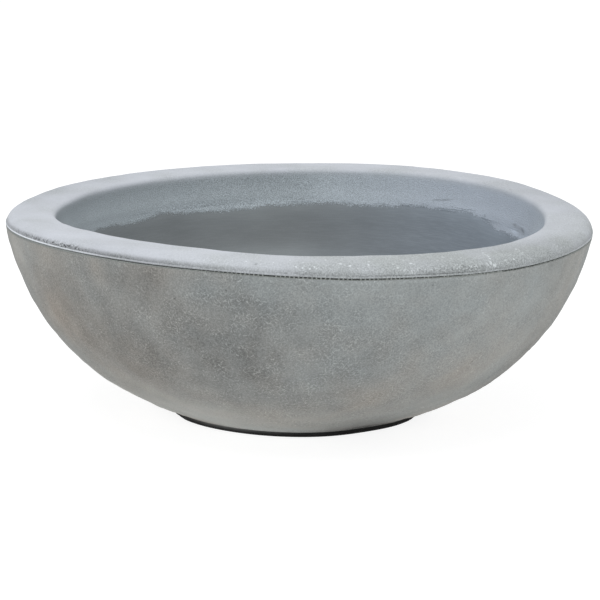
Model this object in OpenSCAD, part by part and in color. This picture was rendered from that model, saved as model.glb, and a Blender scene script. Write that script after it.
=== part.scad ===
// Round cast-concrete planter bowl for the floor.
// A thick wall swells up from a small foot in one arc. A separate coping ring is lapped
// onto its top in a bed of mortar, a dark sealing coat lines the inside below that ring,
// a rubber ring carries it all, and a rubber plug closes the drain hole.
// Millimetres, +Z up. The origin is where the axis meets the ground it stands on.
// Every section below is drawn as [radius, height] and turned about the axis.

/* [Bowl] */
// Widest diameter, over the rim
bowl_d = 600; // [570:1:680]
// Height from the ground to the top of the rim
bowl_h = 210; // [190:1:230]
// Lean of the wall out from upright where it meets the rim, in degrees
wall_flare = 10; // [5:0.5:15]
// Wall thickness at the rim, from the outside to the finished inside
wall_t = 50; // [40:1:60]

/* [Coping ring] */
// Radius of the ring's rounded outer edge
rim_outer_r = 12; // [8:0.5:16]
// Radius of the ring's rounded inner edge
rim_inner_r = 6; // [3:0.5:10]
// Depth of the ring's outer face, from its top down to the joint
rim_drop = 11.5; // [9:0.5:16]
// Depth of the ring's inner face, from its top down to the sealing coat
return_drop = 36; // [26:1:50]
// Width of the wall's upstand that the ring laps over
lap_w = 18; // [12:1:26]

/* [Mortar joint] */
// Thickness of the mortar bed
bed_t = 2; // [1:0.25:4]
// How far the mortar is raked back from the outer face
bed_rake = 1.5; // [0.5:0.25:4]

/* [Sealing coat] */
// Thickness of the coat
coat_t = 3; // [1.5:0.5:6]
// How far the coat's face lies back from the ring's inner face
coat_step = 3; // [0.5:0.5:6]

/* [Foot] */
// Outer diameter of the base and of the rubber ring under it
foot_d = 250; // [210:1:290]
// Width of the rubber ring
foot_w = 20; // [12:1:35]
// Height of the rubber ring
foot_h = 6; // [4:0.5:12]
// Bevel on the rubber ring's lower edges
foot_bevel = 1; // [0.5:0.25:2]
// How far the middle of the base stands down inside the rubber ring
boss_h = 2; // [1:0.5:3]

/* [Drain] */
// Diameter of the drain hole
drain_d = 30; // [20:1:36]
// Gap all round between the plug and the hole
plug_gap = 0.05; // [0.02:0.01:0.1]
// Gap under the plug's flange when it is home
seat_gap = 0.1; // [0.05:0.05:0.3]
// How far the plug's flange reaches out past the hole
flange_lip = 6; // [4:0.5:10]
// Thickness of the plug's flange
flange_t = 5; // [3:0.5:8]
// Length of the taper at the plug's lower end
plug_taper = 10; // [5:1:15]
// How much the taper takes off the plug's radius
plug_nose = 2; // [1:0.5:4]
// Radius of the knob that the plug is pulled by
knob_r = 8; // [6:0.5:10]
// Radius of the neck under the knob
neck_r = 5; // [3:0.5:5.5]
// Height of the neck
neck_h = 5; // [3:0.5:8]

/* [Hidden] */
$fn = 144;

wall_steps = 28;    // straight steps that draw the wall's long arc
edge_steps = 10;    // straight steps that draw a small rounded edge
sliver = 0.01;      // points of an outline closer than this are one point

rim_r = bowl_d / 2;
base_r = foot_d / 2;
drain_r = drain_d / 2;
seam_z = bowl_h - rim_drop;           // top of the joint, on the outside
seam_low_z = seam_z - bed_t;          // bottom of the joint, on the outside
return_z = bowl_h - return_drop;      // underside of the ring, on the inside
seat_z = return_z - bed_t;            // the wall's ledge under the ring
lap_r = rim_r - lap_w;                // face of the ring that laps the upstand
boss_z = foot_h - boss_h;             // underside of the middle of the base

// The wall is one arc. It leaves the rim's rounded edge without a corner, leaning by
// wall_flare, and it ends on the edge of the base. Those two fix its radius and centre.
edge_c = [rim_r - rim_outer_r, bowl_h - rim_outer_r];
wall_top = edge_c + rim_outer_r * [cos(wall_flare), -sin(wall_flare)];
chord = wall_top - [base_r, foot_h];
lean = [cos(wall_flare), -sin(wall_flare)];
wall_r = (chord * chord) / (2 * (chord * lean));
wall_c = wall_top - wall_r * lean;

// Every face of the wall is an arc about the same centre, this far in from the outside
ring_in = wall_t;
coat_in = wall_t - coat_step;
shell_in = coat_in - coat_t;

// Point at radius r and angle a below level from the wall's centre
function wall_point(r, a) = wall_c + r * [cos(a), -sin(a)];
// Angle at which an arc of radius r about the wall's centre is at height z
function wall_angle(r, z) = asin((wall_c.y - z) / r);
// Angle at which such an arc turns level, or meets the drain hole before that
function floor_angle(r) = acos(max(0, drain_r - wall_c.x) / r);
// Points from angle a to angle b on such an arc
function wall_arc(r, a, b) = [for (i = [0:wall_steps]) wall_point(r, a + (b - a) * i / wall_steps)];
// Points from angle a to angle b on a circle of radius r about c, turning left
function edge_arc(c, r, a, b) =
    [for (i = [0:edge_steps]) let (t = a + (b - a) * i / edge_steps) c + r * [cos(t), sin(t)]];

// Radius of the outside at height z: the rounded edge above the wall's top, the wall below
function outside_r(z) = z > wall_top.y
    ? edge_c.x + sqrt(max(0, rim_outer_r * rim_outer_r - (z - edge_c.y) * (z - edge_c.y)))
    : wall_point(wall_r, wall_angle(wall_r, z)).x;

// The whole outside, from the base up over the rounded edge
outside = concat(
    wall_arc(wall_r, wall_angle(wall_r, foot_h), wall_flare),
    [for (p = edge_arc(edge_c, rim_outer_r, -wall_flare, 90)) if (p.y > wall_top.y + sliver) p]);
// Its stretch from height low to height high
function outside_between(low, high) = concat(
    [[outside_r(low), low]],
    [for (p = outside) if (p.y > low + sliver && p.y < high - sliver) p],
    [[outside_r(high), high]]);

// The face that lies depth in from the outside, from height top down to the drain hole
function inside_below(depth, top) = let (
    r = wall_r - depth,
    arc = wall_arc(r, wall_angle(r, top), floor_angle(r)),
    low = arc[wall_steps])
    concat(arc, low.x > drain_r + sliver ? [[drain_r, low.y]] : []);
floor_z = wall_point(wall_r - coat_in, floor_angle(wall_r - coat_in)).y;

// The ring's inner rounded edge touches its flat top and its inner face
inner_r = wall_r - ring_in;
inner_edge_z = bowl_h - rim_inner_r;
inner_edge_a = wall_angle(inner_r + rim_inner_r, inner_edge_z);
inner_edge_c = wall_point(inner_r + rim_inner_r, inner_edge_a);

function reversed(list) = [for (i = [len(list) - 1:-1:0]) list[i]];

// Cast wall and base, with an upstand at its top, a boss under its middle and the drain hole
module bowl_shell() {
    color("#8f9492")
    rotate_extrude()
    polygon(concat(
        outside_between(foot_h, seam_low_z),
        [[lap_r + bed_t, seam_low_z], [lap_r + bed_t, seat_z]],
        inside_below(shell_in, seat_z),
        [[drain_r, boss_z], [base_r - foot_w, boss_z], [base_r - foot_w, foot_h]]));
}

// Coping ring: rounded outside, flat top, rounded inside, and a deep inner return
module rim_ring() {
    color("#c3c9cc")
    rotate_extrude()
    polygon(concat(
        outside_between(seam_z, bowl_h),
        edge_arc(inner_edge_c, rim_inner_r, 90, 180 - inner_edge_a),
        [for (i = [1:edge_steps])
            wall_point(inner_r, inner_edge_a
                + (wall_angle(inner_r, return_z) - inner_edge_a) * i / edge_steps)],
        [[lap_r, return_z], [lap_r, seam_z]]));
}

// Mortar between the wall and the ring, round the upstand, raked back on the outside
module joint_mortar() {
    coat_r = wall_r - coat_in;
    inner_end = wall_point(coat_r, wall_angle(coat_r, return_z)).x;
    inner_low = wall_point(coat_r, wall_angle(coat_r, seat_z)).x;
    color("#5d615f")
    rotate_extrude()
    polygon([
        [outside_r(seam_z) - bed_rake, seam_z], [lap_r, seam_z],
        [lap_r, return_z], [inner_end, return_z],
        [inner_low, seat_z], [lap_r + bed_t, seat_z],
        [lap_r + bed_t, seam_low_z], [outside_r(seam_low_z) - bed_rake, seam_low_z]]);
}

// Dark sealing coat over the inside of the wall and the floor, up to the mortar
module inner_coat() {
    color("#6e7577")
    rotate_extrude()
    polygon(concat(
        inside_below(coat_in, seat_z),
        reversed(inside_below(shell_in, seat_z))));
}

// Rubber ring that the bowl stands on, round the boss
module foot_ring() {
    inner = base_r - foot_w;
    color("#1c1c1c")
    rotate_extrude()
    polygon([
        [inner, foot_h], [inner, foot_bevel], [inner + foot_bevel, 0],
        [base_r - foot_bevel, 0], [base_r, foot_bevel], [base_r, foot_h]]);
}

// Rubber plug: tapered stem in the drain hole, flange on the floor, knob to pull it by
module drain_plug() {
    stem_r = drain_r - plug_gap;
    flange_z = floor_z + seat_gap;
    neck_z = flange_z + flange_t;
    knob_c = [0, neck_z + neck_h + knob_r * cos(asin(neck_r / knob_r))];
    color("#2b2b2b")
    rotate_extrude()
    polygon(concat(
        [[0, boss_z], [stem_r - plug_nose, boss_z], [stem_r, boss_z + plug_taper],
         [stem_r, flange_z], [drain_r + flange_lip, flange_z], [drain_r + flange_lip, neck_z],
         [neck_r, neck_z]],
        edge_arc(knob_c, knob_r, asin(neck_r / knob_r) - 90, 90)));
}

bowl_shell();
rim_ring();
joint_mortar();
inner_coat();
foot_ring();
drain_plug();
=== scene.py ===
"""Looks of a round cast-concrete planter bowl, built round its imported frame.

Every piece is turned. Its outline is drawn in the half plane (radius, height) and carried
round the upright axis. Each point is then moved along the outline's own normal by the
relief of its surface, and last by the warp of the casting. Lengths are in metres.
"""

import math

import bpy
import numpy as np
from mathutils import Matrix, Vector


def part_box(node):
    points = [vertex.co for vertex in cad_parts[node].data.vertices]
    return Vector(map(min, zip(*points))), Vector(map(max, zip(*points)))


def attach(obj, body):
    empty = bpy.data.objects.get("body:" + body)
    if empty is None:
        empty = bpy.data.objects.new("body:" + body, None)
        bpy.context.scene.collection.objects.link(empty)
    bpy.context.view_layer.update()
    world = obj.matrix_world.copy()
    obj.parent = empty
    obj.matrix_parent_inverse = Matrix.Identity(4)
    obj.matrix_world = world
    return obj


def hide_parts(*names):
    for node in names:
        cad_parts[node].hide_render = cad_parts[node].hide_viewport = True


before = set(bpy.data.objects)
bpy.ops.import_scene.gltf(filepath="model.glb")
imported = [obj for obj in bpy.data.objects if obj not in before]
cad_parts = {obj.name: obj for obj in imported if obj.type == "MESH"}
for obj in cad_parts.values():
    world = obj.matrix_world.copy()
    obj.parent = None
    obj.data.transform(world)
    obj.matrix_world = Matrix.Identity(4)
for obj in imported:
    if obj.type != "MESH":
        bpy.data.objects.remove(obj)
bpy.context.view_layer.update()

MM = 0.001

# ---------------------------------------------------------------- sizes, from the frame

rim_low, rim_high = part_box("rim_ring")
mortar_low, mortar_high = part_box("joint_mortar")
wall_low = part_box("bowl_shell")[0]
foot_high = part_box("foot_ring")[1]
plug_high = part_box("drain_plug")[1]

RIM_R = rim_high.x                 # widest radius, over the rim
RIM_Z = rim_high.z                 # top of the rim
SEAM_Z = mortar_high.z             # top of the mortar joint on the outside
BED_T = rim_low.z - mortar_low.z   # thickness of the mortar bed
RETURN_Z = rim_low.z               # underside of the coping ring, on the inside
FOOT_R = foot_high.x               # radius of the base and of the rubber ring
FOOT_Z = foot_high.z               # top of the rubber ring
BOSS_Z = wall_low.z                # underside of the middle of the base
FLANGE_R = plug_high.x             # radius of the plug's flange
PLUG_Z = plug_high.z               # top of the plug's knob

# Sizes that the frame's boxes don't give
EDGE_R = 12 * MM                   # rounded outer edge of the rim
LIP_R = 6 * MM                     # rounded inner edge of the rim
FLARE = 10                         # lean of the wall at the rim, degrees
WALL_T = 50 * MM                   # wall at the rim, outside to finished inside
COAT_IN = 47 * MM                  # outside of the wall to the face of the coat
SHELL_IN = 44 * MM                 # outside of the wall to the back of the coat
LAP_W = 18 * MM                    # width of the upstand that the ring laps
RAKE = 1.5 * MM                    # mortar set back from the outer face
FOOT_W = 20 * MM                   # width of the rubber ring
FOOT_BEVEL = 1 * MM                # bevel on its lower edges
DRAIN_R = 15 * MM                  # drain hole
PLUG_GAP = 0.05 * MM               # plug's stem to the hole
SEAT_GAP = 0.1 * MM                # plug's flange to the floor
CLEAR = 0.03 * MM                  # keeps the ring's face and the coat's apart where they meet

# Worked out from those
LOW_Z = SEAM_Z - BED_T             # bottom of the joint, on the outside
SEAT_Z = RETURN_Z - BED_T          # the wall's ledge under the ring
LAP_R = RIM_R - LAP_W              # face of the ring that laps the upstand
UPSTAND_R = LAP_R + BED_T          # the upstand's inner face
INNER_R = RIM_R - WALL_T           # the opening
HOLLOW_R = FOOT_R - FOOT_W         # inside of the rubber ring


# ---------------------------------------------------------------- outlines

def arc(centre, radius, start, end, step):
    """Points about step apart on the circle of that radius about centre: centre + radius
    times (cosine, sine) of an angle that goes evenly from start to end, in degrees."""
    count = max(2, math.ceil(abs(math.radians(end - start)) * radius / step))
    angle = np.radians(np.linspace(start, end, count + 1))
    return np.stack([centre[0] + radius * np.cos(angle), centre[1] + radius * np.sin(angle)], 1)


def straight(start, end, step):
    """Points about step apart on the line from start to end."""
    start, end = np.array(start, float), np.array(end, float)
    count = max(1, math.ceil(np.linalg.norm(end - start) / step))
    return start + np.linspace(0, 1, count + 1)[:, None] * (end - start)


def joined(*runs):
    """The runs one after the other, with each point that repeats the one before left out."""
    points = np.concatenate([np.asarray(run, float).reshape(-1, 2) for run in runs])
    apart = np.linalg.norm(np.diff(points, axis=0), axis=1) > 0.01 * MM
    return points[np.concatenate([[True], apart])]


# The wall is one arc from the foot to the rim's rounded edge, and its inner faces are
# arcs about the same centre.
edge_c = np.array([RIM_R - EDGE_R, RIM_Z - EDGE_R])
lean = np.array([math.cos(math.radians(FLARE)), -math.sin(math.radians(FLARE))])
wall_top = edge_c + EDGE_R * lean
chord = wall_top - np.array([FOOT_R, FOOT_Z])
WALL_R = chord @ chord / (2 * chord @ lean)
wall_c = wall_top - WALL_R * lean
RETURN_ARC = WALL_R - WALL_T       # the ring's return
COAT_ARC = WALL_R - COAT_IN        # the coat's face
SHELL_ARC = WALL_R - SHELL_IN      # the back of the coat
FLOOR_Z = wall_c[1] - COAT_ARC     # the coat's face in the middle of the floor


def below(radius, z):
    """Angle in degrees, from level down, at which the arc of that radius is at height z."""
    return math.degrees(math.asin((wall_c[1] - z) / radius))


def wall_point(radius, angle):
    """The point of that arc at that angle below level."""
    angle = math.radians(angle)
    return wall_c + radius * np.array([math.cos(angle), -math.sin(angle)])


def outside_r(z):
    """Radius of the outside at height z: the rounded edge above the wall's top, the wall below."""
    if z > wall_top[1]:
        return edge_c[0] + math.sqrt(EDGE_R ** 2 - (z - edge_c[1]) ** 2)
    return wall_point(WALL_R, below(WALL_R, z))[0]


# ---------------------------------------------------------------- warp and relief

# The real casting is a little out of round and its rim is not level. Each pair is the
# cosine and sine part, in mm, of one, two, three ... waves round the bowl.
RISE = ((0.0, -1.1), (-2.5, 2.9), (-0.1, 0.0), (-0.8, -0.1))
SPREAD = ((1.4, -0.9), (1.2, 0.6), (-0.1, -0.2))

# The joint runs out of level with the rim's top. Its rise in mm by angle round the bowl,
# which is -90 in front, 0 at the right and 90 at the back.
SEAM_RISE = (
    (-180, 1.1), (-160, 1.7), (-146, 1.7), (-134, 1.4), (-120, 1.1), (-108, 1.3), (-98, 1.1),
    (-89, 0.4), (-80, -0.7), (-68, -0.9), (-57, -1.7), (-47, -1.6), (-40, -1.2), (-34, -0.6),
    (-27, 0.3), (-18, 0.8), (0, 0.3), (90, 0), (150, 0.8), (180, 1.1))
SEAM_REACH = 9 * MM

# How one side differs from the rest: angle and half width in degrees, mm. The rim's top
# slopes up to its inner edge on the right, and down a little at the back on the left. The
# opening is tighter on the left, from PINCH_IN inside the rim's outer edge.
TIP = ((8, 34, 4.0), (130, 35, -0.9))
PINCH = ((168, 26, 2.8),)
PINCH_IN = 15 * MM

# The base is a little wider and oval, with a flat on its front right and a fuller front
# left, all in mm.
BASE_WIDER = 0.44
BASE_OVAL = ((0.88, 0.0), (2.2, 0.0))
BASE_SIDES = ((-53, 18, -3.52), (-150, 20, 2.42))
BASE_REACH = 35 * MM


def harmonics(pairs, t):
    """Sum over k of a cos(k t) + b sin(k t)."""
    return sum(a * np.cos(k * t) + b * np.sin(k * t) for k, (a, b) in enumerate(pairs, 1))


def by_angle(rows, t):
    """Value at angle t from rows of angle in degrees and value, straight between the rows."""
    degrees, value = np.array(rows).T
    return np.interp(np.degrees(t + math.pi) % 360 - 180, degrees, value)


def bell(x, centre, width):
    """A bell: exp of minus the square of (x - centre) / width."""
    return np.exp(-((x - centre) / width) ** 2)


def ramp(x, low, high):
    """Smooth step from 0 at low to 1 at high."""
    x = np.clip((x - low) / (high - low), 0, 1)
    return x * x * (3 - 2 * x)


def turn_from(t, degrees):
    """Angle in degrees from there to t, the shorter way round."""
    return (np.degrees(t) - degrees + 180) % 360 - 180


def facing(t, degrees, width):
    """A bell over the angle round the bowl, in degrees."""
    return bell(turn_from(t, degrees), 0, width)


def sides(t, rows):
    """Sum of value times a bell over the angle, from rows of angle and half width in degrees
    and value."""
    return sum(value * facing(t, degrees, width) for degrees, width, value in rows)


def patches(t, along, rows):
    """Sum of value times a bell over the angle and a bell over along, from rows of angle and
    half width in degrees, place and half width in mm and value."""
    return sum(value * facing(t, degrees, width) * bell(along, place * MM, reach * MM)
               for degrees, width, place, reach, value in rows)


def warp(r, t, z):
    """The rim's rise grows with the 1.5th power of the height and its spread with the
    0.7th. Both fade out towards the axis, so the drain stays true. The joint's own rise is a
    bell over the height that reaches to the rim's rounded edge. The tip grows from the
    outside to the inner edge, and so does the pinch, with the square of the height. The
    base's own shape is a bell over the height."""
    height = np.clip(z / RIM_Z, 0, None)
    away = np.clip(r / FOOT_R, 0, 1)
    seam = by_angle(SEAM_RISE, t) * bell(z, SEAM_Z, SEAM_REACH) * ramp(r, RIM_R - WALL_T / 2, RIM_R)
    tip = sides(t, TIP) * ramp(r, RIM_R, INNER_R)
    rise = (harmonics(RISE, t) + tip) * height ** 1.5 * away + seam
    pinch = sides(t, PINCH) * ramp(r, RIM_R - PINCH_IN, INNER_R) * height ** 2
    base = BASE_WIDER + harmonics(BASE_OVAL, t) + sides(t, BASE_SIDES)
    spread = harmonics(SPREAD, t) * height ** 0.7 + base * bell(z, 0, BASE_REACH) - pinch
    return r + MM * spread * away, z + MM * rise


def waves(points, size, seed, count=40):
    """Smooth random relief of unit spread: the sum of count cosine waves that run in random
    directions with wavelengths about size and random phases."""
    rng = np.random.default_rng(seed)
    run = rng.normal(size=(count, 3))
    reach = np.linalg.norm(run, axis=1)
    run *= (2 * math.pi / size * rng.uniform(0.7, 1.4, count) / reach)[:, None]
    phase = rng.uniform(0, 2 * math.pi, count)
    return math.sqrt(2 / count) * np.cos(points @ run.T + phase).sum(-1)


class Grid:
    """The unbent points of a turned surface. t is the angle, s the length along the outline,
    r and z the outline's radius and height, xyz the point itself. All have one row for each
    angle and one column for each outline point."""

    def __init__(self, outline, around, closed):
        self.closed = closed
        after = np.roll(outline, -1, 0) - outline
        steps = np.linalg.norm(after[:-1], axis=1)
        ahead = np.roll(outline, -1, 0) - np.roll(outline, 1, 0)
        if not closed:
            ahead[0], ahead[-1] = outline[1] - outline[0], outline[-1] - outline[-2]
        ahead /= np.linalg.norm(ahead, axis=1)[:, None]
        turn = math.pi / 2 + 2 * math.pi * np.arange(around) / around
        self.t, self.s = np.meshgrid(turn, np.concatenate([[0], np.cumsum(steps)]), indexing="ij")
        self.r, self.z = (np.broadcast_to(column, self.t.shape) for column in outline.T)
        self.out = ahead[:, 1], -ahead[:, 0]
        self.xyz = self.placed(self.r, self.z)

    def placed(self, r, z):
        """Cylinder coordinates to x, y, z."""
        return np.stack([r * np.cos(self.t), r * np.sin(self.t), z], -1)

    def on_round(self, radius, up):
        """The place on a circle of that radius at the height up. It depends on the angle and
        on up only, and has no jump where the turn starts."""
        return self.placed(np.full(self.t.shape, radius), up)


def turned(name, grid, relief=None):
    """A mesh of the grid's points, each moved by relief along the outline's outward normal
    and then warped. Quads join neighbours round and along. An open outline starts and ends
    on the axis, and each end becomes one point with a fan of triangles."""
    r, z = grid.r, grid.z
    if relief is not None:
        r, z = r + relief * grid.out[0], z + relief * grid.out[1]
    points = grid.placed(*warp(r, grid.t, z))
    turns, rows = grid.t.shape
    i, j = np.meshgrid(np.arange(turns), np.arange(rows), indexing="ij")
    number = i * rows + j
    if not grid.closed:
        number[:, 0], number[:, -1] = 0, rows - 1
    beside = np.roll(number, -1, 0)
    quads = np.stack([number, beside, np.roll(beside, -1, 1), np.roll(number, -1, 1)], -1)
    if not grid.closed:
        quads = quads[:, :-1]
    quads = quads.reshape(-1, 4)
    faces = [list(dict.fromkeys(face)) for face in quads.tolist()]
    mesh = bpy.data.meshes.new(name)
    mesh.from_pydata(points.reshape(-1, 3), [], faces)
    mesh.validate()
    mesh.update()
    mesh.shade_smooth()
    mesh.set_sharp_from_angle(angle=math.radians(50))
    piece = bpy.data.objects.new(name, mesh)
    bpy.context.scene.collection.objects.link(piece)
    return piece


def paint(piece, name, values):
    """Stores one value or vector for each vertex, for the materials to read."""
    kind, field = ("FLOAT", "value") if values.ndim == 2 else ("FLOAT_VECTOR", "vector")
    layer = piece.data.attributes.new(name, kind, "POINT")
    layer.data.foreach_set(field, values.astype(np.float32).ravel())


# ---------------------------------------------------------------- materials

SMOOTH = {"interpolation_type": "SMOOTHSTEP"}

# Sizes of the patterns. Sand, bristle marks and air holes are really about 0.5 mm across,
# which is too fine to show, so they are drawn as coarse as they need to be.
GRAIN = 1.5 * MM                   # sand in the concrete and the mortar
STIPPLE = 1.0 * MM                 # bristle marks along the edge of the coat
PIT = 0.9 * MM                     # air holes in the ring's return
MOULD_GRAIN = 1.8 * MM             # texture of the rubber's mould
PINHOLE_CELL = 13 * MM             # each holds one pinhole of the wall
FLECK_CELL = 4.5 * MM              # each holds one fleck of lime on the rim
SWIRL = 2.6 * MM                   # turns of the brush on the wall
STREAK_L = 22 * MM                 # a brush streak's length on the coat
STREAK_W = 1.2 * MM                # and its width

# The wall's brush strokes in mm: the cells that hold one each, then its half length and width
STROKES = ((7.0, 3.6, 0.8), (5.0, 2.6, 0.75), (3.6, 1.8, 0.7))


def colour(code):
    """sRGB hex to linear: c / 12.92 below 0.04045, else ((c + 0.055) / 1.055) to the 2.4."""
    parts = [int(code[i:i + 2], 16) / 255 for i in (1, 3, 5)]
    return (*[c / 12.92 if c <= 0.04045 else ((c + 0.055) / 1.055) ** 2.4 for c in parts], 1)


def add(tree, kind, inputs=None, **settings):
    """Adds a node with its settings, and sets or links its inputs, each given by number or by
    name. Gives the first output that is in use, if there is one."""
    node = tree.nodes.new("ShaderNode" + kind)
    for name, value in settings.items():
        setattr(node, name, value)
    for key, value in (inputs or {}).items():
        socket = node.inputs[key] if isinstance(key, int) else next(
            s for s in node.inputs if s.name == key and s.enabled)
        if isinstance(value, bpy.types.NodeSocket):
            tree.links.new(value, socket)
        else:
            socket.default_value = value
    return next((s for s in node.outputs if s.enabled), None)


def read_off(tree, *names):
    """The place on the object, and the value that paint() stored under each of the names."""
    place = add(tree, "TexCoord").node.outputs["Object"]
    stored = (add(tree, "Attribute", attribute_name=name).node.outputs["Fac"] for name in names)
    return (place, *stored)


def cloudy(tree, place, size, low, high, detail=2.0):
    """Soft patches about size across: 0 where a noise is under low, 1 where it is over high."""
    noise = add(tree, "TexNoise", {"Vector": place, "Scale": 1 / size, "Detail": detail})
    return add(tree, "MapRange", {"Value": noise, "From Min": low, "From Max": high}, **SMOOTH)


def swirled(tree, place, size, reach):
    """The place, pushed about by up to half of reach, differently every size along."""
    push = add(tree, "TexNoise", {"Vector": place, "Scale": 1 / size, "Detail": 1.0})
    push = add(tree, "VectorMath", {0: push.node.outputs["Color"], 1: (0.5, 0.5, 0.5)},
               operation="SUBTRACT")
    push = add(tree, "VectorMath", {0: push, "Scale": reach}, operation="SCALE")
    return add(tree, "VectorMath", {0: place, 1: push}, operation="ADD")


def product(tree, *factors):
    """All the factors multiplied."""
    total = factors[0]
    for factor in factors[1:]:
        total = add(tree, "Math", {0: total, 1: factor}, operation="MULTIPLY")
    return total


def weighed(tree, start, *terms):
    """start plus the sum of value times weight over the (value, weight) terms."""
    total = start
    for value, weight in terms:
        total = add(tree, "Math", {0: value, 1: weight, 2: total}, operation="MULTIPLY_ADD")
    return total


def tinted(tree, share, first, second, light):
    """The first colour where share is 0 and the second where it is 1, times light."""
    ends = {"Factor": share, "A": colour(first), "B": colour(second)}
    base = add(tree, "Mix", ends, data_type="RGBA")
    return add(tree, "VectorMath", {0: base, "Scale": light}, operation="SCALE")


def surface(piece, name, look, roughness, specular, depth):
    """Gives the piece a material. look(tree) gives its colour and its relief of 0 to 1, which
    stands depth proud."""
    material = bpy.data.materials.new(name)
    material.use_nodes = True
    tree = material.node_tree
    shader = tree.nodes["Principled BSDF"]
    shader.inputs["Roughness"].default_value = roughness
    shader.inputs["Specular IOR Level"].default_value = specular
    base, height = look(tree)
    normal = add(tree, "Bump", {"Height": height, "Distance": depth, "Strength": 1.0})
    tree.links.new(base, shader.inputs["Base Color"])
    tree.links.new(normal, shader.inputs["Normal"])
    piece.data.materials.append(material)


def strokes(tree, place, out, size, long, wide):
    """One short curved ridge in each cell of that size, lying on the surface, whose outward
    direction is out. Where u is the distance from the cell's centre along a random tangent
    and v the distance across it, the ridge is 1 where v plus bend times u squared is 0. It
    fades to 0 at wide across and at long along, and its strength differs by cell."""
    cell = add(tree, "TexVoronoi", {"Vector": place, "Scale": 1 / size}).node.outputs
    chance = cell["Color"]
    away = add(tree, "VectorMath", {0: place, 1: cell["Position"]}, operation="SUBTRACT")
    aim = add(tree, "VectorMath", {0: chance, 1: (0.5, 0.5, 0.5)}, operation="SUBTRACT")
    run = add(tree, "VectorMath", {0: out, 1: aim}, operation="CROSS_PRODUCT")
    run = add(tree, "VectorMath", {0: run}, operation="NORMALIZE")
    side = add(tree, "VectorMath", {0: out, 1: run}, operation="CROSS_PRODUCT")
    u, v, bend, strength = (
        add(tree, "VectorMath", {0: a, 1: b}, operation="DOT_PRODUCT").node.outputs["Value"]
        for a, b in ((away, run), (away, side), (aim, (0.6 / long, 0, 0)), (chance, (0, 0, 1))))
    v = weighed(tree, v, (product(tree, u, u), bend))
    u, v = (add(tree, "Math", {0: value}, operation="ABSOLUTE") for value in (u, v))
    across, along, near = (
        add(tree, "MapRange", {"Value": value, "From Min": gone, "From Max": full}, **SMOOTH)
        for value, gone, full in ((v, wide, 0.2 * wide), (u, long, 0.5 * long),
                                  (cell["Distance"], 0.85, 0.6)))
    return product(tree, across, along, near, weighed(tree, 0.4, (strength, 0.55)))


def slurry_wall(tree):
    """Cast concrete with a brushed-on slurry. The brush leaves short curved ridges about 1 mm
    wide and 3 to 7 mm long, dense in some patches and rubbed flat in others, over a fine sandy
    grain with a few pinholes. The ridges are paler than the gaps between them, partly the
    slurry's own colour and partly painted light on them, and the gaps and pinholes are painted
    darker, as painted shade in the hollows."""
    place, tone, warmth, brushed = read_off(tree, "tone", "warmth", "brushed")
    out = add(tree, "NewGeometry").node.outputs["Normal"]
    bent = swirled(tree, place, SWIRL, SWIRL)
    lines = weighed(tree, -0.28, *(
        (strokes(tree, bent, out, size * MM, long * MM, wide * MM), 0.9)
        for size, long, wide in STROKES))
    patch = weighed(tree, 0.35, (cloudy(tree, place, 18 * MM, 0.38, 0.62), 0.65))
    lines = product(tree, lines, patch, brushed)
    grain = weighed(tree, -0.5, (cloudy(tree, place, GRAIN, 0.22, 0.78), 1.0))
    hole = add(tree, "TexVoronoi", {"Vector": place, "Scale": 1 / PINHOLE_CELL})
    hole = add(tree, "MapRange", {"Value": hole, "From Min": 0.1, "From Max": 0.06})
    hole = product(tree, hole, cloudy(tree, place, 30 * MM, 0.5, 0.6))
    mottle = weighed(tree, -0.5, (cloudy(tree, place, 24 * MM, 0.3, 0.7, 1.0), 1.0))
    warmth = weighed(tree, warmth, (mottle, 0.12))
    # Painted light and shade: the ridges lighter, the gaps between them and the pinholes darker
    light = weighed(tree, tone, (lines, 0.38), (grain, 0.28), (hole, -0.25))
    height = weighed(tree, 0.4, (lines, 0.3), (grain, 0.2), (hole, -0.4))
    return tinted(tree, warmth, "#9ca1a1", "#aaa39a", light), height


def inner_face(tree):
    """Colour and relief inside the bowl. Above a ragged line it is the coping's return, bare
    concrete with fine dark pits. Below it is the dark sealing coat with faint brush streaks.
    The distance above the line and both tones are painted on."""
    place, cool, line, streaky, rough, bare_tone, coat_tone, brush = read_off(
        tree, "cool", "line", "streaky", "rough", "bare_tone", "coat_tone", "brush")
    along = add(tree, "Attribute", attribute_name="along").node.outputs["Vector"]
    streak = add(tree, "VectorMath", {0: along, 1: (1 / STREAK_L, 1 / STREAK_L, 1 / STREAK_W)},
                 operation="MULTIPLY")
    streak = cloudy(tree, streak, 1.0, 0.42, 0.66, 3.0)
    stipple = cloudy(tree, place, STIPPLE, 0.36, 0.64)
    lobes = cloudy(tree, place, 11 * MM, 0.3, 0.7)
    # Painted shade: the pits are darker, as shade in these small hollows
    pits = weighed(tree, -0.55, (cloudy(tree, place, PIT, 0.3, 0.66, 1.5), 1.0))

    ragged = weighed(tree, line, (stipple, 3.6 * MM), (lobes, 1.8 * MM),
                     (product(tree, streak, streaky), -4 * MM))
    bare = add(tree, "MapRange", {"Value": ragged, "From Min": 1.6 * MM, "From Max": 3.6 * MM},
               **SMOOTH)
    light = weighed(tree, bare_tone, (pits, rough))
    above = tinted(tree, cool, "#b3bcc1", "#b3bcc8", light)
    light = weighed(tree, coat_tone, (streak, brush), (stipple, 0.05))
    under = tinted(tree, cool, "#84898b", "#858e98", light)
    base = add(tree, "Mix", {"Factor": bare, "A": under, "B": above}, data_type="RGBA")
    return base, product(tree, bare, weighed(tree, 0.5, (pits, 0.5)))


def flecks(tree, place, rows):
    """1 inside small round splashes and 0 elsewhere, from rows of place and radius."""
    total = 0.0
    for spot, radius in rows:
        away = add(tree, "VectorMath", {0: place, 1: spot}, operation="DISTANCE")
        inside = add(tree, "MapRange", {"Value": away.node.outputs["Value"],
                                        "From Min": radius, "From Max": 0.55 * radius})
        total = add(tree, "Math", {0: total, 1: inside}, operation="MAXIMUM")
    return total


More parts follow.
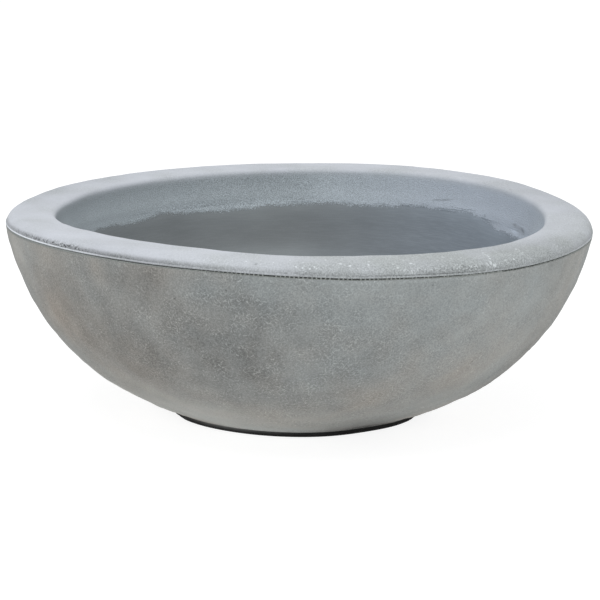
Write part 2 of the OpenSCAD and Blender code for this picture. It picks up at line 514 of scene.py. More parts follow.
def limed_coping(tree):
    """Smooth-trowelled concrete with a bloom of lime: a cool near-white with a fine sandy
    grain that shows more where the bloom is worn or scuffed off, small white splashes and
    pale scuffs. Its lower edge is chipped in places, and its inside is the inner face's."""
    place, tone, worn, scuffed, chipped, turned_in = read_off(
        tree, "tone", "worn", "scuffed", "chipped", "inside")
    grain = weighed(tree, -0.5, (cloudy(tree, place, GRAIN, 0.3, 0.7), 1.0))
    blot = cloudy(tree, place, 12 * MM, 0.35, 0.7)
    fine = add(tree, "TexVoronoi", {"Vector": place, "Scale": 1 / FLECK_CELL})
    fine = add(tree, "MapRange", {"Value": fine, "From Min": 0.3, "From Max": 0.12}, **SMOOTH)
    fine = product(tree, fine, worn, cloudy(tree, place, 16 * MM, 0.42, 0.6))
    drips = flecks(tree, place, [(warped_place(degrees, r, z), radius * MM)
                                 for degrees, r, z, radius in SPLASHES])
    scuffs = product(tree, scuffed, cloudy(tree, place, 2.2 * MM, 0.5, 0.6))
    splash = weighed(tree, fine, (drips, 1.8), (scuffs, 1.8))
    gritty = product(tree, grain, weighed(tree, 0.07, (worn, 0.33), (scuffed, 0.35)))
    # Painted shade: the chips are darker where they sink into the relief
    chips = product(tree, chipped, cloudy(tree, place, 2.4 * MM, 0.48, 0.58))
    bits = product(tree, chipped, cloudy(tree, place, 1.7 * MM, 0.56, 0.66, 1.0))
    light = weighed(tree, tone, (blot, 0.03), (splash, 0.32), (gritty, 1.0), (chips, -0.5),
                    (bits, 0.5))
    outer = tinted(tree, worn, "#c9cdd4", "#b3b8b9", light)
    height = weighed(tree, 0.3, (gritty, 1.5), (splash, 0.4), (chips, -0.6))
    inside, dented = inner_face(tree)
    base = add(tree, "Mix", {"Factor": turned_in, "A": outer, "B": inside}, data_type="RGBA")
    return base, add(tree, "Mix", {"Factor": turned_in, "A": height, "B": dented})


def sealing_coat(tree):
    """A cement and bitumen sealing slurry, brushed round the bowl: dark grey, matt, smooth."""
    return inner_face(tree)


def bed_mortar(tree):
    """Cement mortar, raked out while soft and dark with dirt. Where it is raked back it is
    painted darker still, as painted shade in the recess.
    """
    place, tone = read_off(tree, "tone")
    grain = cloudy(tree, place, GRAIN, 0.3, 0.7)
    light = weighed(tree, tone, (grain, 0.3))
    base = add(tree, "VectorMath", {0: colour("#8d918e")[:3], "Scale": light}, operation="SCALE")
    return base, grain


def black_rubber(tree):
    """Moulded black rubber with a dusty bloom."""
    place, tone = read_off(tree, "tone")
    grain = cloudy(tree, place, MOULD_GRAIN, 0.3, 0.7)
    dust = cloudy(tree, place, 14 * MM, 0.35, 0.7)
    # tone carries the foot ring's painted light toward the top of its side
    light = weighed(tree, 0.35, (grain, 0.2), (dust, 0.3), (tone, 1.0))
    base = add(tree, "VectorMath", {0: colour("#262626")[:3], "Scale": light}, operation="SCALE")
    return base, grain


# ---------------------------------------------------------------- surfaces

# Where the dark coat stops inside: height in mm by angle round the bowl
LINE = (
    (-180, 168), (-90, 170), (0, 168), (14, 168), (28, 166), (34, 173), (40, 176.6), (47, 175.4),
    (55, 174.2), (60, 173.6), (66, 171.8), (76, 171.3), (80, 172.2), (86, 172), (91, 170.3),
    (97, 171), (102, 168.4), (108, 167.4), (112, 166.2), (117, 168), (129, 170.6), (138, 166),
    (148, 168), (180, 168))

# Scratches and smears inside: angle, height, half length and half width in mm, slope
# against the round, how much lighter
SMEARS = (
    (49.4, 185.2, 8.5, 0.8, -0.15, -0.5),
    (52.0, 184.2, 4, 1.0, -0.15, -0.35),
    (42.0, 187.0, 22, 4.5, 0.0, -0.06),
    (36.6, 175.0, 10, 2.2, -0.1, 0.1),
    (17.0, 180.5, 30, 0.9, 0.02, 0.18),
    (17.5, 178.0, 17, 5.0, 0.1, -0.2),
    (10.0, 182.0, 24, 7.0, 0.0, -0.1),
    (20.4, 178.6, 4, 1.8, 0.1, -0.25),
    (15.0, 177.0, 6, 1.3, 0.3, -0.4),
    (19.5, 172.0, 9, 1.8, 0.1, 0.35),
    (31.0, 172.0, 14, 3.5, 0.1, -0.12),
    (14.0, 186.0, 62, 17.0, 0.0, -0.08),
)

# Sides of the inner face: angle and half width in degrees, value. How much lighter the coat
# is, and how much more so just below the line; how much the return's pits and the brush
# streaks show.
COAT_LIGHTER = ((160, 40, 0.06), (40, 35, 0.16))
LINE_LIGHTER = ((38, 14, 0.17), (112, 25, 0.08))
PITTED = ((85, 30, 0.32), (120, 25, 0.15))
STREAKY = ((44, 22, 0.9), (155, 15, 0.3))

# Painted light: a paler band on the coat at the back, where more light reaches the far inner
# wall: angle and half width, height and half height in mm, how much lighter
PAINTED_LIGHT_BAND = ((99, 22, 120, 11, 0.42),)


def inner_relief(grid):
    """Relief that the return and the coat share: gentle waves, and a low swelling round the
    inside a little above the joint. It depends on angle and height only, so the two pieces
    meet without a step."""
    level = grid.on_round(INNER_R, grid.z)
    return MM * (0.18 * waves(level, 55 * MM, 34) + 0.5 * bell(grid.z, RETURN_Z + 6 * MM, 6 * MM))


def inner_paint(piece, grid, marks=0):
    """What the inner face's look reads. line is the distance above the ragged line, rough the
    depth of the pits, streaky how far the streaks break up the line, brush how much they show
    on the coat, cool the share of the cooler colour, bare_tone and coat_tone the tones of the
    return and of the coat, and along a place that follows the surface. Nearly all depends on
    angle and height only, so the pieces that meet here agree. The coat darkens by 0.6 % for
    each mm below the line and is paler just under it, and the return is paler just above it."""
    t, z = grid.t, grid.z
    level = grid.on_round(INNER_R, z)
    line = z - by_angle(LINE, t) * MM
    deep = np.clip(-line / MM, 0, 45)
    fringe = bell(line, 3.5 * MM, 4 * MM)
    off_axis = ramp(grid.r, 80 * MM, 200 * MM)

    # Painted light and shade on the return: lighter on the right back, where the lamp would fall on
    # the inner wall, and darker just under the lip on the left
    lit = ramp(np.cos(t - math.radians(40)), 0.62, 0.8)
    lip_shade = (1 - ramp(RIM_Z - z, 6 * MM, 20 * MM)) * (1 - ramp(np.cos(t), -0.3, 0.1))
    bare = 0.97 + 0.17 * lit - 0.09 * lip_shade + 0.012 * waves(level, 70 * MM, 14)
    bare += fringe * (0.05 + 0.18 * facing(t, 105, 13)) + marks
    near_line = 0.08 + sides(t, LINE_LIGHTER)
    coat = 0.92 + sides(t, COAT_LIGHTER)
    coat = coat * (1.04 + near_line * np.exp(-deep / 8) - 0.0062 * deep)
    # Painted light on the coat at the back, from the table above
    coat += patches(t, z, PAINTED_LIGHT_BAND) + 0.15 * facing(t, 99, 17) * np.exp(-deep / 25)
    coat += 0.02 * waves(level, 60 * MM, 33) * off_axis
    for degrees, high, long, wide, slant, lighter in SMEARS:
        along = np.radians(turn_from(t, degrees)) * INNER_R
        across = z - high * MM - slant * along
        mark = lighter * bell(along, 0, long * MM) * bell(across, 0, wide * MM)
        bare += mark
        coat += mark
    streaky = np.clip(0.1 + sides(t, STREAKY), 0, 1)
    cool = ramp(np.cos(t), -0.2, 1) - 0.35 * facing(t, 3, 10)

    paint(piece, "line", line)
    paint(piece, "rough", 0.2 + sides(t, PITTED) + 0.4 * fringe * facing(t, 112, 25))
    paint(piece, "streaky", streaky)
    paint(piece, "brush", (0.05 + 0.08 * streaky) * off_axis)
    paint(piece, "cool", cool * off_axis + 0.4 * (1 - off_axis))
    paint(piece, "bare_tone", bare)
    paint(piece, "coat_tone", coat)
    paint(piece, "along", grid.on_round(RIM_R, grid.s))


def length(points):
    """Length along a run of points."""
    return np.linalg.norm(np.diff(points, axis=0), axis=1).sum()


def dent(grid, degrees, s, wide, high, slant=0.0):
    """A bell over the distance on the surface from the point at that angle and length along
    the outline, wide one way and high the other, leaning up to one side by slant."""
    across = RIM_R * np.radians(turn_from(grid.t, degrees))
    up = grid.s - s
    return bell(across + slant * up, 0, wide) * bell(up - slant * across, 0, high)


def warped_place(degrees, r, z):
    """The warped point at that angle, and at that radius and height in mm before the warp."""
    t = math.radians(degrees)
    r, z = warp(np.array(r * MM), t, np.array(z * MM))
    return float(r * math.cos(t)), float(r * math.sin(t)), float(z)


# Splashes of lime on the rim: angle, radius and height of the place, and the splash's own
# radius, in degrees and mm
SPLASHES = (
    (-82.1, 290.7, 209.7, 2.1), (-80.4, 293.8, 208.5, 1.8), (-76.4, 283.6, 210, 1.9),
    (-76.9, 292.7, 209, 1.5), (-81.1, 269.4, 210, 1.4), (-84.5, 275.5, 210, 1.5),
    (-69.1, 279, 210, 1.6), (-68.6, 291.2, 209.6, 2.1), (-60, 275.1, 210, 2),
    (-59.1, 282.5, 210, 1.6), (-51.2, 298.7, 203.4, 2.4), (-40.9, 278.7, 210, 2),
    (-41.6, 281, 210, 1.4), (-50.3, 276.4, 210, 1.6), (-50.7, 282, 210, 1.4),
    (-51, 286, 210, 1.6), (-51.4, 290.5, 209.8, 1.4), (-51.6, 293.7, 208.6, 1.5),
    (-51.9, 296.7, 206.3, 1.5), (-52, 297.9, 204.7, 1.6), (-46, 297, 206, 1.6),
    (-57, 284, 210, 1.4), (-62.5, 286, 210, 1.5), (-71.5, 296, 207, 1.5),
    (-97, 284, 210, 1.3), (-94.5, 290.5, 209.8, 1.4), (-91.5, 278, 210, 1.3),
    (-89, 287, 210, 1.4), (-87, 295.5, 207.5, 1.3), (-99.5, 292, 209.3, 1.2),
    (-90.3, 296, 206.9, 1.2), (-89.1, 296.6, 206.3, 1.3), (-87.8, 297.2, 205.7, 1.3),
    (-86.6, 297, 205.9, 1.1),
)

# Stains on the outside as the photograph shows them, then a few for the far side: angle
# round the bowl and height and radius of the patch in mm, how much lighter, how much warmer
STAINS = (
    (-161, 180, 28, 0.2, 0.2),
    (-145, 192, 16, 0.08, 0.1),
    (-146, 128, 36, 0.0, 0.2),
    (-150, 125, 34, 0.0, 0.35),
    (-144, 165, 40, -0.06, 0.05),
    (-130, 181, 18, -0.05, 0.05),
    (-130, 188, 14, 0.0, 0.3),
    (-124, 120, 26, -0.09, 0.05),
    (-134, 122, 45, -0.09, 0.05),
    (-126, 88, 36, -0.12, 0.05),
    (-119, 181, 20, -0.2, 0.1),
    (-122, 158, 20, 0.04, 0.05),
    (-119, 138, 16, 0.06, 0.0),
    (-113, 126, 26, -0.12, 0.0),
    (-103, 112, 38, -0.16, 0.1),
    (-98, 106, 17, -0.08, 0.0),
    (-95, 85, 30, -0.05, 0.1),
    (-98, 155, 36, -0.05, 0.0),
    (-108, 182, 24, 0.0, -0.3),
    (-96, 190, 26, 0.02, -0.3),
    (-88, 98, 20, 0.04, 0.0),
    (-78, 190, 40, 0.08, -0.5),
    (-60, 178, 45, 0.07, -0.3),
    (-73, 108, 26, -0.08, 0.0),
    (-72, 68, 28, 0.0, 0.5),
    (-52, 125, 30, -0.03, 0.0),
    (-46, 80, 26, 0.02, 0.2),
    (-48, 178, 50, 0.06, 0.0),
    (-40, 160, 24, 0.08, -0.05),
    (-39, 106, 24, 0.07, 0.1),
    (-81, 86, 20, -0.04, 0.22),
    (-65, 105, 26, 0.0, 0.28),
    (-58, 145, 26, 0.0, 0.18),
    (-44, 142, 28, 0.05, 0.0),
    (-119, 100, 16, -0.06, 0.0),
    (-124, 180, 12, -0.08, 0.0),
    (-134, 143, 14, 0.06, 0.0),
    (-107, 105, 9, -0.09, 0.0),
    (-98, 130, 10, -0.06, 0.0),
    (-140, 76, 14, 0.08, 0.0),
    (-135, 66, 16, 0.1, 0.0),
    (-130, 58, 14, 0.08, 0.0),
    (-52, 82, 24, 0.0, 0.25),
    (-20, 186, 30, 0.1, 0.0),
    (-35, 194, 5, -0.2, 0.0),
    (-20, 140, 50, 0.02, 0.1),
    (20, 120, 60, -0.05, 0.4),
    (60, 165, 50, -0.08, -0.2),
    (95, 110, 60, 0.04, 0.3),
    (140, 150, 55, -0.08, 0.1),
)


def wall_place(degrees, z):
    """The point of the wall's outside at that angle and height."""
    t, r = math.radians(degrees), outside_r(z)
    return np.array([r * math.cos(t), r * math.sin(t), z])


# ---------------------------------------------------------------- pieces

# Sides of the wall: angle and half width in degrees, value. How much lighter and warmer it
# is, and how much the slurry's strokes show.
WALL_LIGHTER = ((-30, 40, 0.04), (-128, 32, -0.06))
WALL_WARMER = ((-138, 32, 0.24), (-14, 26, 0.14))
WALL_BRUSHED = ((-96, 30, 0.5), (90, 60, 0.3))

# Low stretches of the wall, all round and then on one side: angle and half width in degrees,
# the heights in mm between which each fades out, how much lighter. Most are painted light and
# shade: lighter low down all round, at the front and on the lower left, as light from the floor
# would make it, and darker as a painted shadow just above the foot on the front right and at
# both ends.
LOW_ROUND = ((8, 62, 0.42), (140, 195, -0.08))
LOW_SIDES = (
    (-40, 28, 140, 195, 0.08),
    (-100, 20, 8, 62, 0.12),
    (-124, 18, 30, 80, 0.3),
    (-158, 15, 15, 100, 0.4),
    (-22, 12, 80, 160, -0.13),
    (-60, 18, 6, 44, -0.7),
    (-105, 28, 7, 16, 0.2),
    (-165, 20, 8, 13, -0.9),
    (-14, 22, 8, 13, -0.9),
    (-44, 22, 7, 17, -0.3),
)


def cast_wall():
    """The wall and base: outside arc, ledge and upstand under the ring, inside arc behind the
    coat, drain hole and boss. Its relief is waves, ridges where a wave crosses 0 and
    pinholes where one peaks, with a hollow above the foot, a shallow one under the rim and a
    lip round the base."""
    floor = wall_c[1] - SHELL_ARC
    outside = arc(wall_c, WALL_R, -below(WALL_R, FOOT_Z), -below(WALL_R, LOW_Z), 2.6 * MM)
    outline = joined(
        outside,
        straight([outside_r(LOW_Z), LOW_Z], [UPSTAND_R, LOW_Z], 4 * MM),
        straight([UPSTAND_R, LOW_Z], [UPSTAND_R, SEAT_Z], 12 * MM),
        straight([UPSTAND_R, SEAT_Z], wall_point(SHELL_ARC, below(SHELL_ARC, SEAT_Z)), 12 * MM),
        arc(wall_c, SHELL_ARC, -below(SHELL_ARC, SEAT_Z), -90, 30 * MM),
        straight([wall_c[0], floor], [DRAIN_R, floor], 25 * MM),
        straight([DRAIN_R, floor], [DRAIN_R, BOSS_Z], 20 * MM),
        straight([DRAIN_R, BOSS_Z], [HOLLOW_R, BOSS_Z], 9 * MM),
        straight([HOLLOW_R, BOSS_Z], [HOLLOW_R, FOOT_Z], 1 * MM),
        straight([HOLLOW_R, FOOT_Z], [FOOT_R - 1 * MM, FOOT_Z], 8 * MM))
    grid = Grid(outline, around=640, closed=True)
    t, s, z, xyz = grid.t, grid.s, grid.z, grid.xyz
    end = length(outside)
    shown = ramp(s, 0, 6 * MM) * (1 - ramp(s, end - 3 * MM, end)) * (s < end)
    ridge = bell(waves(xyz, 17 * MM, 3), 0, 0.25) * ramp(waves(xyz, 60 * MM, 4), -0.3, 1)
    hole = ramp(waves(xyz, 9 * MM, 5), 1.9, 2.6)
    relief = 0.15 * waves(xyz, 60 * MM, 1) + 0.14 * waves(xyz, 22 * MM, 2)
    relief += 0.3 * ridge - 0.5 * hole
    relief -= 1.8 * bell(z, 26 * MM, 18 * MM) + 0.8 * bell(z, 155 * MM, 28 * MM)
    lip = 1.1 * bell(s, 1 * MM, 4 * MM) * (s < end)
    piece = turned("cast_wall", grid, MM * (relief * shown + lip))

    tone = 0.9 + 0.015 * waves(xyz, 120 * MM, 6) + 0.025 * waves(xyz, 30 * MM, 7)
    tone += sides(t, WALL_LIGHTER) + 0.12 * facing(t, -70, 36) * bell(s, end - 1.5 * MM, 2 * MM)
    warmth = 0.16 + 0.07 * waves(xyz, 140 * MM, 8) + sides(t, WALL_WARMER)
    warmth += (0.24 - 0.18 * facing(t, -120, 25)) * (1 - ramp(z, 20 * MM, 90 * MM))
    for degrees, high, wide, lighter, warmer in STAINS:
        apart = np.linalg.norm(xyz - wall_place(degrees, high * MM), axis=-1)
        tone += lighter * bell(apart, 0, wide * MM)
        warmth += warmer * bell(apart, 0, wide * MM)
    # Painted light and shade low on the wall, from the two tables above
    for low, high, lighter in LOW_ROUND:
        tone += lighter * (1 - ramp(z, low * MM, high * MM))
    for degrees, width, low, high, lighter in LOW_SIDES:
        tone += lighter * facing(t, degrees, width) * (1 - ramp(z, low * MM, high * MM))
    brushed = 0.52 + sides(t, WALL_BRUSHED) + 0.12 * waves(xyz, 70 * MM, 9)
    brushed -= 0.45 * facing(t, -125, 22) * (1 - ramp(z, 60 * MM, 110 * MM))
    paint(piece, "tone", tone)
    paint(piece, "warmth", np.clip(warmth, 0, 1))
    paint(piece, "brushed", brushed)
    surface(piece, "slurried cast concrete", slurry_wall,
            roughness=0.9, specular=0.25, depth=0.6 * MM)
    return piece


# Share by which the ring's lowest edge is darker, by angle round the bowl
EDGE_SHADE = (
    (-180, 0.3), (-150, 0.4), (-125, 0.56), (-105, 0.34), (-95, 0.16), (-85, 0.12), (-70, 0.12),
    (-60, 0.24), (-47, 0.14), (-30, 0.1), (0, 0.25), (180, 0.3))

# Sides of the ring: angle and half width in degrees, how much lighter
RING_LIGHTER = ((24, 16, -0.09), (160, 18, -0.07), (-105, 10, 0.06))

# Patches of the ring: angle and half width in degrees, then in mm the place on its outline
# and half the width. The places of the chips and the scuff are counted from the joint up,
# and those of the darker patches on the top, which end with how much lighter, from the start
# of the flat top. The one at 152 degrees is painted shade toward the rim's outer edge at the
# back left.
TOP_DARKER = ((-70, 15, 0, 10, -0.05), (152, 24, 2, 12, -0.08), (-32, 9, 6, 18, -0.15))
CHIPPED = ((-138, 6, 4.2, 2.6, 1.0), (-152, 12, 4, 2.4, 0.7), (-89, 6, 3.4, 2, 0.35),
           (-57, 11, 5, 3, 0.3))
SCUFFED = ((-58, 12, 6.5, 1.7, 1.0),)

# Notches in the rounded inner edge: angle, mm from its start, slant
NOTCHES = ((49.9, 3, 0.5), (38.1, 3, 0.5), (27.9, 2, -0.4))


def cast_coping():
    """The coping ring: rounded outside, flat top, rounded inside, return and lap. Along its
    lower edge run a bead, a fine groove and a shallow cove, each a bell over the length along
    the outline. A pit, a nick and three notches are bells too."""
    lip_z = RIM_Z - LIP_R
    lip_a = below(RETURN_ARC + LIP_R, lip_z)
    lip_c = wall_point(RETURN_ARC + LIP_R, lip_a)
    # The rounded edge has its finest steps near the joint, for the bead and the groove
    bottom = math.degrees(math.asin((SEAM_Z - edge_c[1]) / EDGE_R))
    edge = joined(arc(edge_c, EDGE_R, bottom, bottom + 24, 0.3 * MM),
                  arc(edge_c, EDGE_R, bottom + 24, bottom + 46, 0.9 * MM),
                  arc(edge_c, EDGE_R, bottom + 46, 90, 1.6 * MM))
    top = straight([edge_c[0], RIM_Z], [lip_c[0], RIM_Z], 2.2 * MM)
    lip = arc(lip_c, LIP_R, 90, 180 - lip_a, 1 * MM)
    back = arc(wall_c, RETURN_ARC, -lip_a, -below(RETURN_ARC, RETURN_Z), 1 * MM)
    outline = joined(
        edge, top, lip, back[:-1], [back[-1] + [0, CLEAR]],
        straight(back[-1], [LAP_R, RETURN_Z], 14 * MM),
        straight([LAP_R, RETURN_Z], [LAP_R, SEAM_Z], 12 * MM),
        straight([LAP_R, SEAM_Z], [outside_r(SEAM_Z), SEAM_Z], 6 * MM))
    grid = Grid(outline[:-1], around=1000, closed=True)
    t, s = grid.t, grid.s
    top_s = length(edge)
    lip_s = top_s + length(top)
    back_s = lip_s + length(lip)
    end_s = back_s + length(back)
    shown = s < end_s + 0.1 * MM
    turned_in = ramp(s, lip_s, back_s)

    left, right, thin = facing(t, -148, 30), facing(t, -12, 16), facing(t, -68, 16)
    bead = bell(s, 1.1 * MM, 0.62 * MM)
    groove = bell(s, 2.1 * MM, 0.45 * MM)
    cove = bell(s, 3.4 * MM, 1.6 * MM)
    pit = dent(grid, -97.6, 11.3 * MM, 1.3 * MM, 1.2 * MM)
    nick = dent(grid, -65.5, 3.4 * MM, 2.4 * MM, 0.6 * MM)
    notches = sum(dent(grid, degrees, lip_s + place * MM, 3 * MM, 1.5 * MM, slant)
                  for degrees, place, slant in NOTCHES)
    relief = 0.3 * waves(grid.xyz, 150 * MM, 11) + 0.08 * waves(grid.xyz, 30 * MM, 12)
    relief = MM * relief * ramp(s, 0, 6 * MM) * (1 - turned_in) + inner_relief(grid) * turned_in
    relief += MM * (bead * (0.6 * left + 0.35 * right) - groove * (0.1 + 0.4 * thin))
    relief -= MM * (cove * 0.35 * left + 0.9 * pit + 0.5 * nick + 0.5 * notches)
    piece = turned("cast_coping", grid, relief * shown)

    shade = by_angle(EDGE_SHADE, t) * (1 - ramp(s, 2 * MM, 8.5 * MM))
    tone = (0.985 + 0.012 * waves(grid.xyz, 70 * MM, 14)) * (1 - shade)
    tone += sides(t, RING_LIGHTER) + patches(t, s - top_s, TOP_DARKER)
    tone -= 0.08 * facing(t, -49, 12) * ramp(s - top_s, -4 * MM, 8 * MM)
    # The bead is painted lighter: partly its own pale lime, partly a painted highlight on its upper
    # face
    tone += bead * (1.05 * left + 0.2 * facing(t, -62, 8) + 0.3 * right)
    # Painted shade: the groove, the pit and the nick are darker, as shade in those hollows
    tone -= groove * (0.04 + 0.25 * thin) + 0.5 * pit + 0.4 * nick + 0.12 * notches
    outer = 1 - ramp(s, top_s - 6 * MM, lip_s)
    worn = 0.1 + 0.85 * facing(t, -62, 34) + 0.5 * facing(t, -15, 28) * outer
    worn += 0.42 * facing(t, -125, 36) * (1 - ramp(s, 2.5 * MM, 8 * MM))
    worn += 0.12 * waves(grid.xyz, 50 * MM, 15)
    paint(piece, "tone", tone)
    paint(piece, "worn", np.clip(worn, 0, 1))
    paint(piece, "scuffed", patches(t, s, SCUFFED))
    paint(piece, "chipped", patches(t, s, CHIPPED))
    paint(piece, "inside", ramp(s, lip_s + 2 * MM, back_s + 5 * MM))
    inner_paint(piece, grid, -0.12 * notches)
    surface(piece, "limed trowelled concrete", limed_coping,
            roughness=0.8, specular=0.3, depth=0.5 * MM)
    return piece


# Height of the joint that is raked open, in mm by angle round the bowl. On the right it is
# ragged.
GAP = (
    (-180, 0.25), (-145, 0.25), (-138, 0.3), (-131, 0.45), (-126, 0.75), (-120, 0.8), (-108, 0.9),
    (-94, 1.45), (-84, 1.35), (-79, 1.5), (-71, 1.1), (-57, 0.55), (-51, 0.5), (-47, 1.3),
    (-42, 1.1), (-34, 0.85), (-25, 0.45), (-15, 0.3), (20, 0.9), (90, 1.1), (150, 0.9), (180, 0.25))
GAP_EDGE = 0.25            # mm by which the raking fades, above and below that height
NIB_PITCH = 4.2 * MM       # from one nib to the next
PROUD = 1.4 * MM           # how far nibs and mortar that isn't raked out stand proud


def raked_mortar():
    """The mortar bed between the wall and the ring, raked back on the outside. Its nibs stand
    out to the wall's face once in each pitch, where the cosine of the turn by their number is
    near 1, and are missing in places."""
    raked_r = outside_r(LOW_Z) - RAKE
    top_in = wall_point(COAT_ARC, below(COAT_ARC, RETURN_Z))
    low_in = wall_point(COAT_ARC, below(COAT_ARC, SEAT_Z))
    outline = joined(
        straight([raked_r, LOW_Z], [outside_r(SEAM_Z) - RAKE, SEAM_Z], 0.25 * MM),
        straight([outside_r(SEAM_Z) - RAKE, SEAM_Z], [LAP_R, SEAM_Z], 9 * MM),
        [[LAP_R, RETURN_Z], top_in, low_in, [UPSTAND_R, SEAT_Z]],
        straight([UPSTAND_R, LOW_Z], [raked_r - 1 * MM, LOW_Z], 9 * MM))
    nibs = round(2 * math.pi * RIM_R / NIB_PITCH)
    grid = Grid(outline, around=8 * nibs, closed=True)
    t = grid.t
    face = grid.r > raked_r - 0.2 * MM
    open_h = by_angle(GAP, t) + 0.35 * facing(t, -46, 14) * waves(grid.xyz, 6 * MM, 22)
    filled = 1 - ramp((SEAM_Z - grid.z) / MM, open_h + GAP_EDGE, open_h - GAP_EDGE)
    nib = ramp(np.cos(nibs * t), 0.1, 0.7) * np.clip(1.8 * facing(t, -76, 28), 0, 1)
    nib = nib * ramp(waves(grid.xyz, 12 * MM, 21), -1.4, -0.6)
    proud = np.maximum(filled, nib) * face
    piece = turned("raked_mortar", grid, PROUD * proud)
    # Painted shade: the raked-back gap is much darker than the mortar that stands proud
    paint(piece, "tone", 0.35 + 0.6 * proud)
    surface(piece, "raked cement mortar", bed_mortar,
            roughness=0.95, specular=0.2, depth=0.3 * MM)
    return piece


# Depth below the ring over which the coat's upper end thickens to meet the return
FEATHER = 34 * MM


def brushed_coat():
    """The dark coat over the inside, from under the ring down to the drain hole. Its upper end
    is feathered out to the ring's return. Its relief is the inside's and brush streaks, waves
    that are drawn out round the bowl."""
    under = wall_c[1] - SHELL_ARC
    below_face = straight([DRAIN_R, under], [wall_c[0], under], 16 * MM)
    behind = arc(wall_c, SHELL_ARC, -90, -below(SHELL_ARC, SEAT_Z), 16 * MM)
    feathered = arc(wall_c, COAT_ARC, -below(COAT_ARC, RETURN_Z), -90, 2.8 * MM)
    feathered = joined(feathered[:1] - [0, CLEAR], feathered[1:])
    thicker = (WALL_T - COAT_IN) * ramp(feathered[:, 1], RETURN_Z - FEATHER, RETURN_Z)
    feathered = wall_c + (feathered - wall_c) * (1 - thicker / COAT_ARC)[:, None]
    top_edge = wall_point(RETURN_ARC, below(RETURN_ARC, RETURN_Z))
    outline = joined(
        below_face, behind, [wall_point(SHELL_ARC, below(SHELL_ARC, RETURN_Z)), top_edge],
        feathered, straight([wall_c[0], FLOOR_Z], [DRAIN_R, FLOOR_Z], 2.8 * MM))
    grid = Grid(outline, around=600, closed=True)
    shown = grid.s > length(below_face) + length(behind) + 2 * MM
    streaks = waves(grid.on_round(RIM_R, grid.s) * np.array([0.15, 0.15, 1.0]), 9 * MM, 31)
    relief = inner_relief(grid) + 0.06 * MM * streaks
    relief = relief * ramp(grid.r, DRAIN_R + 8 * MM, DRAIN_R + 30 * MM) * shown
    piece = turned("brushed_coat", grid, relief)
    inner_paint(piece, grid)
    surface(piece, "brushed sealing slurry", sealing_coat,
            roughness=0.75, specular=0.3, depth=0.5 * MM)
    return piece


def rubber_foot():
    """The rubber ring under the base. The weight presses its side out, most near the ground:
    by 1 mm times one minus the square of the height over the ring's height. Its side is painted
    paler toward the top, with the 2.5th power of the height and most on the front left: painted
    light that grades down into the contact shadow under the bowl."""
    outline = joined(
        straight([HOLLOW_R + FOOT_BEVEL, 0], [FOOT_R - FOOT_BEVEL, 0], 3 * MM),
        straight([FOOT_R - FOOT_BEVEL, 0], [FOOT_R, FOOT_BEVEL], 0.5 * MM),
        straight([FOOT_R, FOOT_BEVEL], [FOOT_R, FOOT_Z], 0.6 * MM),
        straight([FOOT_R, FOOT_Z], [HOLLOW_R, FOOT_Z], 6 * MM),
        straight([HOLLOW_R, FOOT_Z], [HOLLOW_R, FOOT_BEVEL], 2 * MM))
    grid = Grid(outline, around=900, closed=True)
    near = 0.1 * MM
    height = grid.z / FOOT_Z
    side = (grid.r > FOOT_R - FOOT_BEVEL - near) & (grid.z > near) & (grid.z < FOOT_Z - near)
    pressed = 1 - height ** 2
    pressed += 0.15 * waves(grid.xyz, 9 * MM, 41) + 0.25 * waves(grid.xyz, 30 * MM, 42)
    pressed = np.clip(pressed, 0, 1.4) * ramp(grid.z, 0, 2 * MM)
    piece = turned("rubber_foot", grid, side * pressed * MM)
    # Painted light: the side is paler toward its top and black in the shade near the floor
    top_light = 1 + 16 * facing(grid.t, -125, 27)
    paint(piece, "tone", top_light * height ** 2.5 * (grid.r > FOOT_R - near))
    surface(piece, "black moulded rubber", black_rubber,
            roughness=0.85, specular=0.2, depth=0.2 * MM)
    return piece


def rubber_plug():
    """The drain plug: tapered stem, flange and knob."""
    stem, taper = DRAIN_R - PLUG_GAP, 10 * MM
    nose = stem - 2 * MM
    flange_z = FLOOR_Z + SEAT_GAP
    top_z = flange_z + 5 * MM
    neck, knob = 5 * MM, 8 * MM
    knob_c = [0, PLUG_Z - knob]
    # Roundings: the lower edges, the flange's top edge, and the neck's foot
    small, large, fillet = 1 * MM, 2 * MM, 1.5 * MM
    outline = joined(
        straight([0, BOSS_Z], [nose - small, BOSS_Z], 3 * MM),
        arc([nose - small, BOSS_Z + small], small, -90, 0, 0.4 * MM),
        straight([nose, BOSS_Z + small], [stem, BOSS_Z + taper], 2 * MM),
        straight([stem, BOSS_Z + taper], [stem, flange_z], 4 * MM),
        straight([stem, flange_z], [FLANGE_R - small, flange_z], 2 * MM),
        arc([FLANGE_R - small, flange_z + small], small, -90, 0, 0.4 * MM),
        arc([FLANGE_R - large, top_z - large], large, 0, 90, 0.4 * MM),
        straight([FLANGE_R - large, top_z], [neck + fillet, top_z], 1.5 * MM),
        arc([neck + fillet, top_z + fillet], fillet, 270, 180, 0.4 * MM),
        arc(knob_c, knob, math.degrees(math.asin(neck / knob)) - 90, 90, 0.8 * MM))
    outline[-1, 0] = 0
    grid = Grid(outline, around=144, closed=False)
    piece = turned("rubber_plug", grid)
    paint(piece, "tone", 0.2 * bell(grid.r, FLANGE_R, 2 * MM))
    surface(piece, "grey-black moulded rubber", black_rubber,
            roughness=0.6, specular=0.35, depth=0.2 * MM)
    return piece


PIECES = (
    (cast_wall, "bowl_shell", "bowl", "wall_concrete"),
    (cast_coping, "rim_ring", "bowl", "rim_concrete"),
    (raked_mortar, "joint_mortar", "bowl", "mortar"),
    (brushed_coat, "inner_coat", "bowl", "sealing_coat"),
    (rubber_foot, "foot_ring", "bowl", "foot_rubber"),
    (rubber_plug, "drain_plug", "plug", "plug_rubber"),
)

for make, node, body, slot in PIECES:
    piece = make()
    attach(piece, body)
    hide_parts(node)


# ---------------------------------------------------------------- floor, light, camera

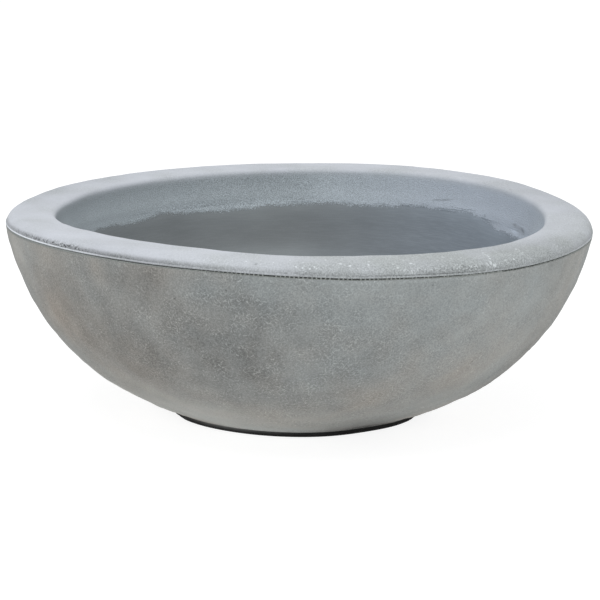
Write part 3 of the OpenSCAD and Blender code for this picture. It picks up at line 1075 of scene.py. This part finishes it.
def seen(tree):
    """1 for what the camera sees, straight or in a shiny or clear surface, and 0 for what
    lights the object."""
    path = add(tree, "LightPath").node.outputs
    total = path["Is Camera Ray"]
    for ray in ("Is Glossy Ray", "Is Transmission Ray"):
        total = add(tree, "Math", {0: total, 1: path[ray]}, operation="MAXIMUM")
    return total


def pale_floor():
    """A wide pale floor. The camera sees it near white: it glows at 0.88, and a grey on top of
    that takes the object's soft shadow. To the object it is a matt pale floor that also glows at
    0.3, which is painted light from below, as if it were a lamp."""
    size = 30
    corners = [(-size, -size, 0), (size, -size, 0), (size, size, 0), (-size, size, 0)]
    mesh = bpy.data.meshes.new("floor")
    mesh.from_pydata(corners, [], [(0, 1, 2, 3)])
    floor = bpy.data.objects.new("floor", mesh)
    bpy.context.scene.collection.objects.link(floor)
    material = bpy.data.materials.new("pale painted floor")
    material.use_nodes = True
    tree = material.node_tree
    tree.nodes.clear()
    white = add(tree, "Emission", {"Color": (1, 1, 1, 1), "Strength": 0.88})
    grey = add(tree, "BsdfDiffuse", {"Color": (0.3, 0.3, 0.3, 1)})
    shown = add(tree, "AddShader", {0: white, 1: grey})
    # Painted light: the floor glows at 0.3 to light the bowl's underside
    bounce_glow = add(tree, "Emission", {"Color": (1, 1, 1, 1), "Strength": 0.3})
    matte = add(tree, "BsdfDiffuse", {"Color": colour("#f0f0f0")})
    lighting = add(tree, "AddShader", {0: matte, 1: bounce_glow})
    both = add(tree, "MixShader", {0: seen(tree), 1: lighting, 2: shown})
    add(tree, "OutputMaterial", {"Surface": both})
    mesh.materials.append(material)


def soft_light():
    """An even pale sky and one big soft lamp above, a little to the left and in front."""
    world = bpy.data.worlds.new("studio")
    bpy.context.scene.world = world
    world.use_nodes = True
    tree = world.node_tree
    tree.nodes.clear()
    sky = add(tree, "Background", {"Color": (0.98, 0.99, 1, 1), "Strength": 0.55})
    white = add(tree, "Background", {"Color": (1, 1, 1, 1), "Strength": 1})
    both = add(tree, "MixShader", {0: seen(tree), 1: sky, 2: white})
    add(tree, "OutputWorld", {"Surface": both})

    lamp = bpy.data.lights.new("soft box", "AREA")
    lamp.shape = "DISK"
    lamp.size = 2.4
    lamp.energy = 31
    box = bpy.data.objects.new("soft box", lamp)
    box.location = (-0.35, -0.6, 2.4)
    box.rotation_euler = (Vector((0, 0, 0.1)) - box.location).to_track_quat("-Z", "Y").to_euler()
    bpy.context.scene.collection.objects.link(box)


def camera():
    """The photograph's view: a long lens 3 m from a point on the axis, 12.5 degrees above
    level, rolled a little."""
    distance, centre_z = 3.0, 0.1
    rise, roll = math.radians(12.47), math.radians(0.9)
    aim = Vector((3.0 * MM, 0, 114.55 * MM))
    data = bpy.data.cameras.new("camera")
    data.sensor_width = 36
    data.lens = 173.3
    data.clip_start = 0.1
    data.clip_end = 100
    view = bpy.data.objects.new("camera", data)
    view.location = (0, -distance * math.cos(rise), centre_z + distance * math.sin(rise))
    turn = (aim - view.location).to_track_quat("-Z", "Y").to_matrix()
    view.rotation_euler = (turn @ Matrix.Rotation(roll, 3, "Z")).to_euler()
    bpy.context.scene.collection.objects.link(view)
    bpy.context.scene.camera = view


pale_floor()
soft_light()
camera()
bpy.context.scene.view_settings.view_transform = "Standard"
